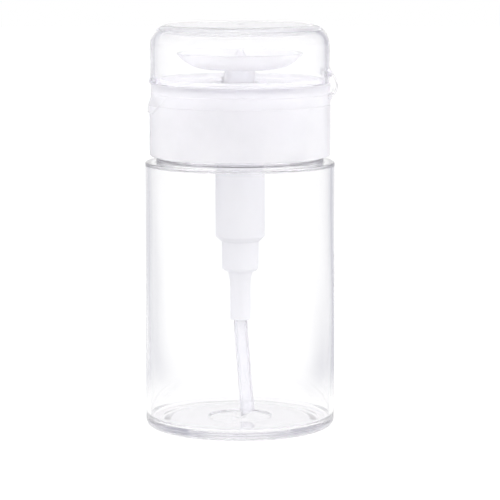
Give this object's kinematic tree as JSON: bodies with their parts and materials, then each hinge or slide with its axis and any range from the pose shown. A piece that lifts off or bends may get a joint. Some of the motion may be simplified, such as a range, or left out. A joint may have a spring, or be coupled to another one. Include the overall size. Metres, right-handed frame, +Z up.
{
  "type": "pump dispenser bottle",
  "caption": "Clear cylindrical bottle with a screw closure, a flip lid on a strap hinge and a push-down pump whose dish wets a cotton pad.",
  "frame": {"origin": "centre of the bottle's standing ring, on the surface that it stands on", "axes": "+Z up along the bottle's axis, +X towards the lid's strap hinge, -X towards the thumb scoop, -Y towards the viewer of the reference view"},
  "size_m": [0.0485, 0.048, 0.102],
  "materials": {
    "clear_bottle": "clear, polished PET",
    "natural_closure": "natural translucent polypropylene, satin",
    "natural_lid": "natural translucent polypropylene, satin",
    "dish": "natural polypropylene, smooth",
    "pump_body": "natural polypropylene, dense and slightly milky",
    "clear_tube": "natural polyethylene tube",
    "soft_seal": "soft low-density polyethylene",
    "foam": "closed-cell polyethylene foam",
    "spring_steel": "drawn stainless wire",
    "ball_glass": "polished glass ball"
  },
  "bodies": {
    "bottle": {"bottle": "clear_bottle"},
    "pump": {"pump_housing": "pump_body", "bottle_gasket": "foam", "stem_guide": "pump_body", "stem_wiper": "soft_seal", "ball_cage": "pump_body", "return_spring": "spring_steel", "dip_tube": "clear_tube"},
    "closure": {"closure_collar": "natural_closure", "hinge_strap": "natural_lid"},
    "lid": {"flip_lid": "natural_lid"},
    "plunger": {"dish": "dish", "outlet_nozzle": "dish", "pump_stem": "pump_body", "piston_seal": "soft_seal", "piston_plug": "pump_body"},
    "inlet_valve": {"inlet_ball": "ball_glass"},
    "outlet_valve": {"outlet_ball": "ball_glass"}
  },
  "joints": [
    {"name": "closure_lift", "type": "slide", "parent": "bottle", "child": "pump", "axis": [0, 0, 1], "range_m": [0, 0.0048]},
    {"name": "closure_turn", "type": "hinge", "parent": "pump", "child": "closure", "pos_m": [0, 0, 0.078], "axis": [0, 0, 1], "range_deg": [0, 540]},
    {"name": "lid_hinge", "type": "hinge", "parent": "closure", "child": "lid", "pos_m": [0.02425, 0, 0.0871], "axis": [0, 1, 0], "range_deg": [0, 170], "deforming": ["hinge_strap"]},
    {"name": "dish_press", "type": "slide", "parent": "pump", "child": "plunger", "axis": [0, 0, -1], "range_m": [0, 0.0033], "stiffness_N_per_m": 800, "springref_m": -0.003, "deforming": ["return_spring"]},
    {"name": "inlet_valve_lift", "type": "slide", "parent": "pump", "child": "inlet_valve", "axis": [0, 0, 1], "range_m": [0, 0.001]},
    {"name": "outlet_valve_lift", "type": "slide", "parent": "plunger", "child": "outlet_valve", "axis": [0, 0, 1], "range_m": [0, 0.0008]}
  ],
  "couplings": [
    {"joint": "closure_lift", "follows": "closure_turn", "m_per_rad": 0.0005093}
  ]
}
